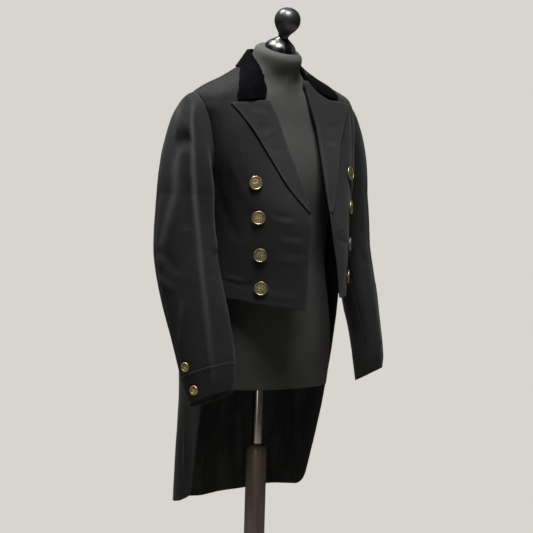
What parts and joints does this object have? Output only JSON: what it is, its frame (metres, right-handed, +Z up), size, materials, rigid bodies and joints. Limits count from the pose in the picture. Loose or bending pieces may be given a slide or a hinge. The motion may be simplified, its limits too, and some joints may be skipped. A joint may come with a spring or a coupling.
{
  "type": "tailcoat on a limbless dress form with a stand",
  "caption": "Dark wool double-breasted cutaway tailcoat with a velvet collar, worn open on a limbless dress form with a neck finial, pole and round base.",
  "frame": {"origin": "centre of the base's flat underside, on the pole's axis", "axes": "+Z up along the pole, the coat's front faces -Y, +X towards the wearer's left"},
  "size_m": [0.5898, 0.38, 1.6383],
  "materials": {
    "wool": "fulled black wool, matt, faint nap",
    "velvet": "blue-black cotton velvet",
    "brass": "aged, worn and tarnished",
    "jersey": "dark grey stretched jersey",
    "chrome": "polished",
    "gloss_black": "gloss lacquer",
    "steel": "satin tube",
    "wood": "dark stained and varnished"
  },
  "bodies": {
    "root": {"form_torso": "jersey", "finial_cone": "chrome", "finial_knob": "gloss_black", "pole": "steel", "column": "wood", "base": "wood", "front_right": "wool", "front_left": "wool", "side_body_right": "wool", "side_body_left": "wool", "back_right": "wool", "back_left": "wool", "tail_right": "wool", "tail_left": "wool", "top_sleeve_right": "wool", "top_sleeve_left": "wool", "under_sleeve_right": "wool", "under_sleeve_left": "wool", "cuff_right": "wool", "cuff_left": "wool", "lapel_right": "wool", "lapel_left": "wool", "collar": "velvet", "button_right_1": "brass", "button_right_2": "brass", "button_right_3": "brass", "button_right_4": "brass", "button_left_1": "brass", "button_left_2": "brass", "button_left_3": "brass", "button_left_4": "brass", "cuff_button_right_upper": "brass", "cuff_button_right_lower": "brass", "cuff_button_left_upper": "brass", "cuff_button_left_lower": "brass"}
  },
  "joints": []
}
